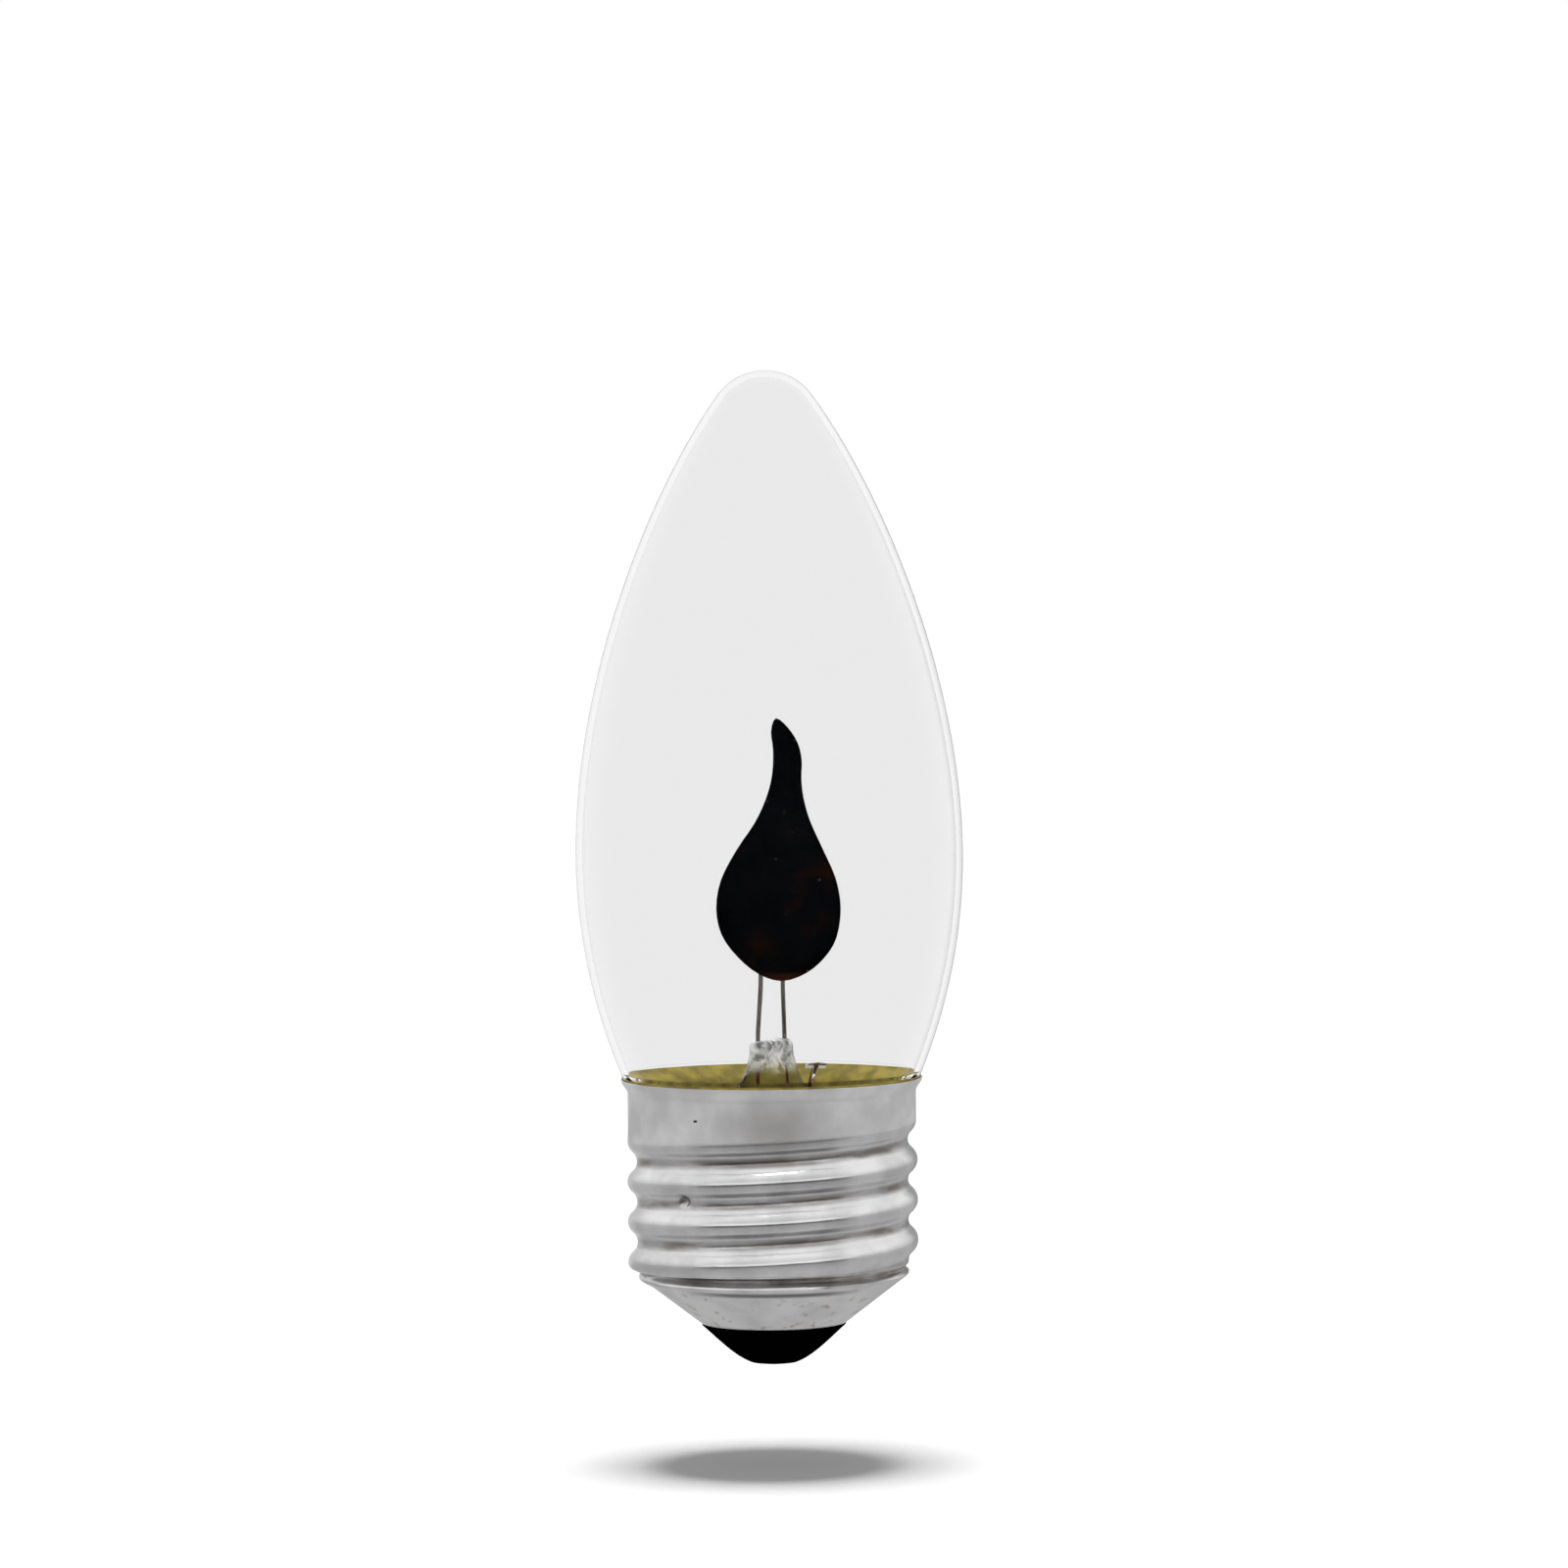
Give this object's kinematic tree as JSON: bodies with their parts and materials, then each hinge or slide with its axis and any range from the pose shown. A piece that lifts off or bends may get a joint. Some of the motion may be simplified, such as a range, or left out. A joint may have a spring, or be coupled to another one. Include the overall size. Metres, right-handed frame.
{
  "type": "neon flicker flame lamp",
  "caption": "Clear candle-shaped glow lamp with two flame-shaped plates on a pressed stem, a screw cap and a ballast resistor in the cap.",
  "frame": {"origin": "centre of the centre contact's flat at the foot of the cap, on the lamp's axis", "axes": "+Z along the lamp's axis from the cap to the glass tip, +Y from the pictured front to the back, +X to the right"},
  "size_m": [0.0348, 0.0348, 0.0895],
  "materials": {
    "clear_glass": "clear blown soda glass, polished",
    "stem_glass": "clear pressed glass, slightly wavy",
    "flame_plate": "near-black coated iron sheet, satin",
    "support_wire": "drawn nickel wire, dull",
    "copper_wire": "drawn copper-clad wire",
    "resistor_lacquer": "dipped tan lacquer",
    "cement": "olive basing cement, matte",
    "cap_aluminium": "rolled aluminium sheet, satin with dull collar",
    "black_glass": "black insulating glass, moulded",
    "contact_brass": "stamped brass",
    "solder": "tin solder, dull grey"
  },
  "bodies": {
    "root": {"glass_envelope": "clear_glass", "stem_glass": "stem_glass", "exhaust_tube": "stem_glass", "front_electrode": "flame_plate", "rear_electrode": "flame_plate", "front_support_wire": "support_wire", "rear_support_wire": "support_wire", "front_seal_wire": "copper_wire", "rear_seal_wire": "copper_wire", "centre_lead_wire": "copper_wire", "resistor_upper_lead": "copper_wire", "resistor_lower_lead": "copper_wire", "side_lead_wire": "copper_wire", "resistor_body": "resistor_lacquer", "basing_cement": "cement", "screw_shell": "cap_aluminium", "insulator": "black_glass", "contact_plate": "contact_brass", "centre_solder": "solder", "side_solder": "solder"}
  },
  "joints": []
}
